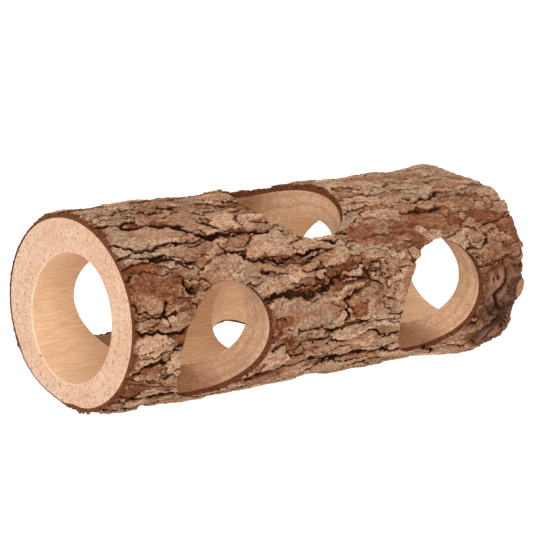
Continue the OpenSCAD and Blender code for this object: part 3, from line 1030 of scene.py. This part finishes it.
def outer_bark_pieces():
    """The flaky outer bark, one piece for each side of the log."""
    relief, crack, scars = bark_relief()
    masks = bark_looks(relief, crack, scars)
    material = bark_material()
    per_side = AROUND // len(SIDES)
    coarse = (COARSE_AROUND // len(SIDES) + 1, COARSE_ALONG + 1)
    for k, side in enumerate(SIDES):
        rows = k * per_side - per_side // 2 + np.arange(per_side + 1)
        theta = rows * TURN / AROUND
        radius = bast_radius(theta[:, None], X[None, :]) + relief[rows % AROUND]
        piece = shell("bark_" + side, theta, X, radius, bast_radius, coarse)
        cut(piece, saw_cutter(), *window_cutters(*BARK_WINDOWS))
        finish_bark(piece, "bark_plates_" + side, material, masks)


def collar_piece():
    """The wrinkled collar beside the branch, sunk into the bark under it."""
    def sunk_radius(theta, x):
        return bast_radius(theta, x) - COLLAR_DEPTH
    height, masks = collar_relief()
    rows = np.arange(*COLLAR_ROWS)
    first = round((COLLAR_START + NEAR_REACH) / STEP_X)
    theta = rows * TURN / AROUND
    radius = bast_radius(theta[:, None], X[None, first:]) + height[rows, first:]
    piece = shell("collar", theta, X[first:], radius, sunk_radius, COLLAR_COARSE)
    cut(piece, *window_cutters(*BARK_WINDOWS))
    finish_bark(piece, "branch_collar", collar_material(), masks)


def stub_piece():
    """The sawn branch stub: a knobbly side that flares into the collar, and a ringed face."""
    root, face = stub_ends()
    length = np.linalg.norm(face - root)
    ahead = (face - root) / length
    aside = np.cross(ahead, [0, 0, 1])
    aside = aside / np.linalg.norm(aside)
    upward = np.cross(ahead, aside)
    sides, side_levels, face_levels = 96, 36, 16
    side_along = np.linspace(STUB_START * length, length - STUB_EDGE, side_levels)
    along = np.concatenate([side_along, np.full(face_levels, length)])
    flare_at = STUB_FLARE_AT * length
    flare = STUB_FLARE * np.exp(-((along - flare_at) / (STUB_FLARE_REACH * length)) ** 2)
    radius = STUB_R + np.where(along > flare_at, flare, STUB_FLARE)
    radius[side_levels:] = np.linspace(STUB_R - 0.25, 0.3, face_levels)
    knobs = seamless_field(45, 3, 5, 1.3, (sides, len(along)), (TURN * STUB_R / sides, 0.35))
    on_side = (np.arange(len(along)) < side_levels)[None, :]
    radius = radius[None, :] + np.where(on_side, 0.1 * knobs, 0.0)
    rings = 0.07 * np.sin(radius * 5.5) - 0.12 * smoothstep(2.0, 0.5, radius)
    along = along[None, :] + np.where(on_side, 0.0, rings + 0.05 * knobs)
    turn = circle(sides)
    across = radius[..., None] * (np.cos(turn)[..., None] * aside + np.sin(turn)[..., None] * upward)
    nearer = -np.array([1, 0, 0]) + ahead[0] * ahead
    along = along - STUB_FACE_LEAN * smoothstep(0.5, 1.0, along / length) * (across @ nearer)
    piece = tube("stub", root + along[..., None] * ahead + across)
    centre, normal = face_places(piece)
    sawn = (normal @ ahead > 0.6) & ((centre - root) @ ahead > length - 2.0)
    materials = [stub_bark_material(), stub_wood_material()]
    finish_piece(piece, ["branch_stub"], materials, sawn, 50)


wood_piece()
inner_bark_piece()
outer_bark_pieces()
collar_piece()
stub_piece()


# Floor, light and camera, in metres

# The floor's half size, how far it lies below the log so that the two don't touch, and its glow
FLOOR_HALF = 6.0
FLOOR_DROP = 0.0003
FLOOR_GLOW = 1.02
SKY_GLOW = 0.85
WHITE = (1.0, 1.0, 1.0, 1.0)
GREY = (0.2, 0.2, 0.2, 1.0)
# Lights: name, place, size of the disk and power; all aim at one place
LIGHTS = [("key", (-1.0, -0.9, 1.3), 1.0, 14), ("fill", (-1.4, -0.9, 0.12), 0.9, 4)]
LIGHT_TARGET = (0, 0, 0.03)


def floor():
    """A white floor that shows no edge against the sky."""
    h = FLOOR_HALF
    mesh = bpy.data.meshes.new("floor")
    mesh.from_pydata([(-h, -h, 0), (h, -h, 0), (h, h, 0), (-h, h, 0)], [], [(0, 1, 2, 3)])
    obj = add_object("floor", mesh)
    obj.location.z = -FLOOR_DROP
    sh = Shader("pale_floor")
    sh.feed(sh.bsdf, {"Emission Color": WHITE, "Emission Strength": FLOOR_GLOW})
    mesh.materials.append(sh.done(GREY))


def lights():
    """A white sky, a large key light and a low fill."""
    world = bpy.data.worlds.new("studio")
    world.use_nodes = True
    sky = world.node_tree.nodes["Background"]
    sky.inputs["Color"].default_value = WHITE
    sky.inputs["Strength"].default_value = SKY_GLOW
    bpy.context.scene.world = world
    for name, place, size, power in LIGHTS:
        data = bpy.data.lights.new(name, "AREA")
        data.shape = "DISK"
        data.size = size
        data.energy = power
        light = add_object(name, data)
        light.location = place
        light.rotation_euler = (Vector(LIGHT_TARGET) - Vector(place)).to_track_quat("-Z", "Y").to_euler()


# The photograph's view of the log: camera angles, distance, and focal length and middle in pixels
VIEW_YAW = math.radians(40.52)
VIEW_PITCH = math.radians(21.17)
VIEW_ROLL = math.radians(13.18)
VIEW_DISTANCE = 1251.4
VIEW_FOCAL = 3398.3
VIEW_MIDDLE = (270.8, 284.0)
FRAME_PX = 533
SENSOR = 36.0


def camera():
    """The camera of the photograph, turned so that the frame's middle is the lens's axis."""
    ahead = Vector((math.cos(VIEW_PITCH) * math.cos(VIEW_YAW), math.cos(VIEW_PITCH) * math.sin(VIEW_YAW),
                    -math.sin(VIEW_PITCH)))
    level = ahead.cross(Vector((0, 0, 1))).normalized()
    upright = level.cross(ahead)
    right = math.cos(VIEW_ROLL) * level + math.sin(VIEW_ROLL) * upright
    up = math.cos(VIEW_ROLL) * upright - math.sin(VIEW_ROLL) * level
    eye = Vector((LENGTH / 2, 0, 0)) - VIEW_DISTANCE * ahead
    off_x, off_y = [FRAME_PX / 2 - middle for middle in VIEW_MIDDLE]
    aim = ahead + (off_x * right - off_y * up) / VIEW_FOCAL
    aim.normalize()
    right = (right - right.dot(aim) * aim).normalized()
    up = right.cross(aim)
    data = bpy.data.cameras.new("camera")
    data.sensor_width = SENSOR
    data.lens = SENSOR * VIEW_FOCAL / FRAME_PX
    data.clip_start = 0.01
    obj = add_object("camera", data)
    turn = Matrix((right, up, -aim)).transposed()
    obj.matrix_world = Matrix.Translation(Vector(to_world(eye))) @ turn.to_4x4()
    bpy.context.scene.camera = obj


floor()
lights()
camera()
bpy.context.scene.view_settings.view_transform = "Standard"
